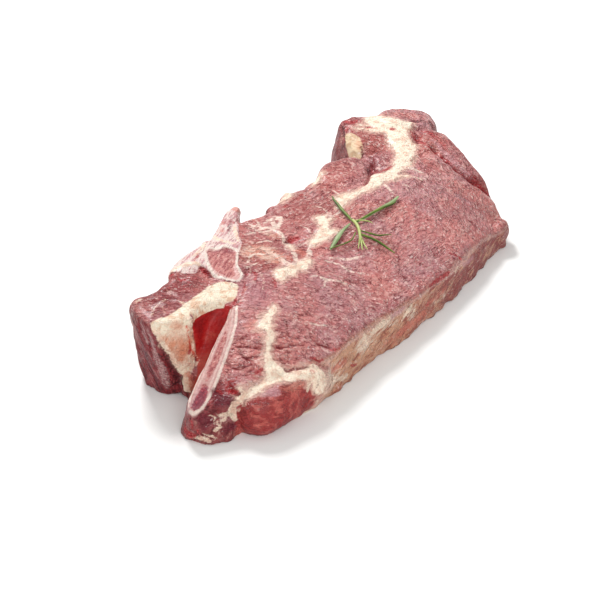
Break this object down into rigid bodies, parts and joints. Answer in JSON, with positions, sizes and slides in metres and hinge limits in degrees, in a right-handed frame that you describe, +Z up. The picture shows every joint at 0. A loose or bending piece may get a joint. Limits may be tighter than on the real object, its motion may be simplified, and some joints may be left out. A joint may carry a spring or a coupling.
{
  "type": "raw beef chuck slice",
  "caption": "Thick bone-in slice of raw beef chuck with backbone, sawn rib, fat seams and a rosemary sprig, lying on one cut face.",
  "frame": {"origin": "middle of the bounding box in plan, on the plane that the slice rests on", "axes": "+Y along the slice to its far end with the fat seam, +X towards the thin muscle edge, away from the bone, +Z up"},
  "size_m": [0.1491, 0.3602, 0.0571],
  "materials": {
    "meat": "moist raw muscle, mauve red, fine pale grain",
    "fat": "moist cream fat, satin",
    "bone": "sawn bone, pale rim and pink spongy face",
    "gristle": "glossy cream to amber gristle",
    "ligament": "yellow tan ligament, satin",
    "rosemary": "green needles, grey green underside, pale stalk"
  },
  "bodies": {
    "root": {"meat": "meat", "rib_bone": "bone", "backbone": "bone", "gristle": "gristle", "neck_ligament": "ligament", "far_fat_seam": "fat", "middle_fat_seam": "fat", "front_fat_seam": "fat", "skirt_fat": "fat", "rosemary_sprig": "rosemary"}
  },
  "joints": []
}
